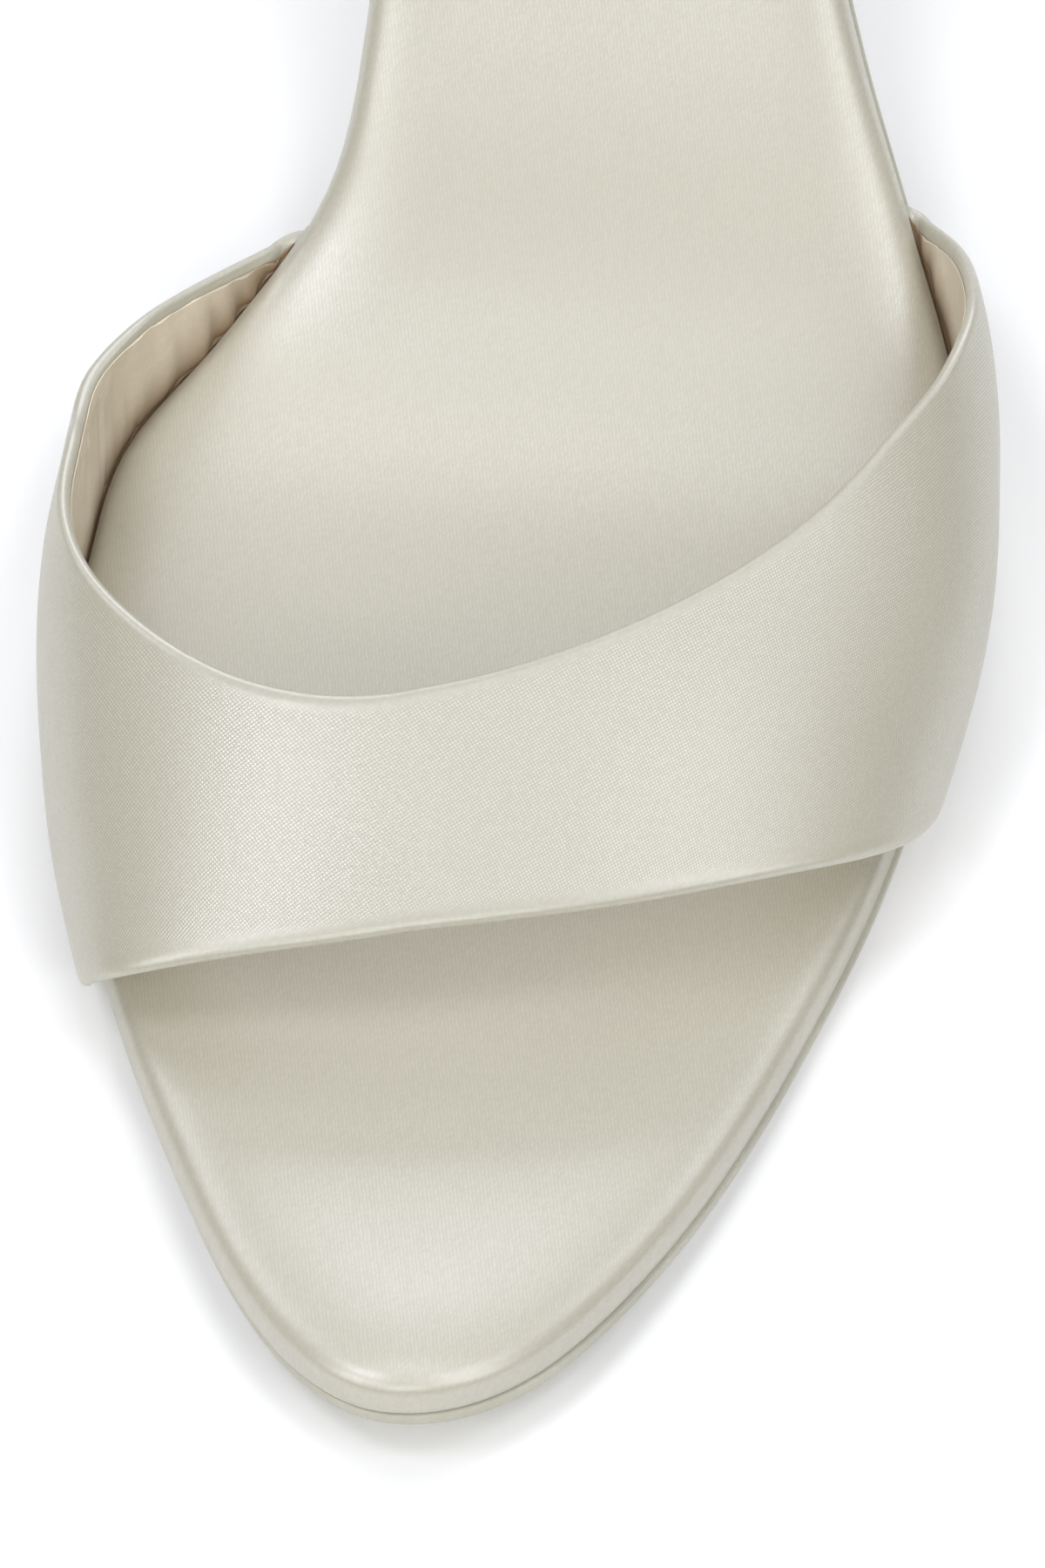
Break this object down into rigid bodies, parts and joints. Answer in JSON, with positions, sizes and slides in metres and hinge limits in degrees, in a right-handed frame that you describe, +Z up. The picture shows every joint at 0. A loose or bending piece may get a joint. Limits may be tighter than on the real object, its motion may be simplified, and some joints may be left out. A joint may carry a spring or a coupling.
{
  "type": "heeled sandal",
  "caption": "Heeled mule sandal, left shoe: wide satin vamp strap over a padded satin insole, thin leather outsole and a slim covered heel.",
  "frame": {"origin": "On the floor, under the middle of the tread (the ball of the foot), on the flat underside of the outsole, 70 mm along the insole from the toe tip.", "axes": "+Z up from the floor, +Y from the toe to the heel, +X to the lateral (outer) side of this left shoe."},
  "size_m": [0.0817, 0.2245, 0.0776],
  "materials": {
    "satin": "ivory satin with a soft sheen",
    "sock_satin": "ivory satin with a fine diagonal weave",
    "lining": "thin beige leather, matt",
    "outsole_leather": "edge-dyed leather, smooth",
    "top_piece_rubber": "matt beige rubber"
  },
  "bodies": {
    "root": {"upper": "satin", "insole": "sock_satin", "outsole": "outsole_leather", "heel": "satin", "heel_top_piece": "top_piece_rubber"}
  },
  "joints": []
}
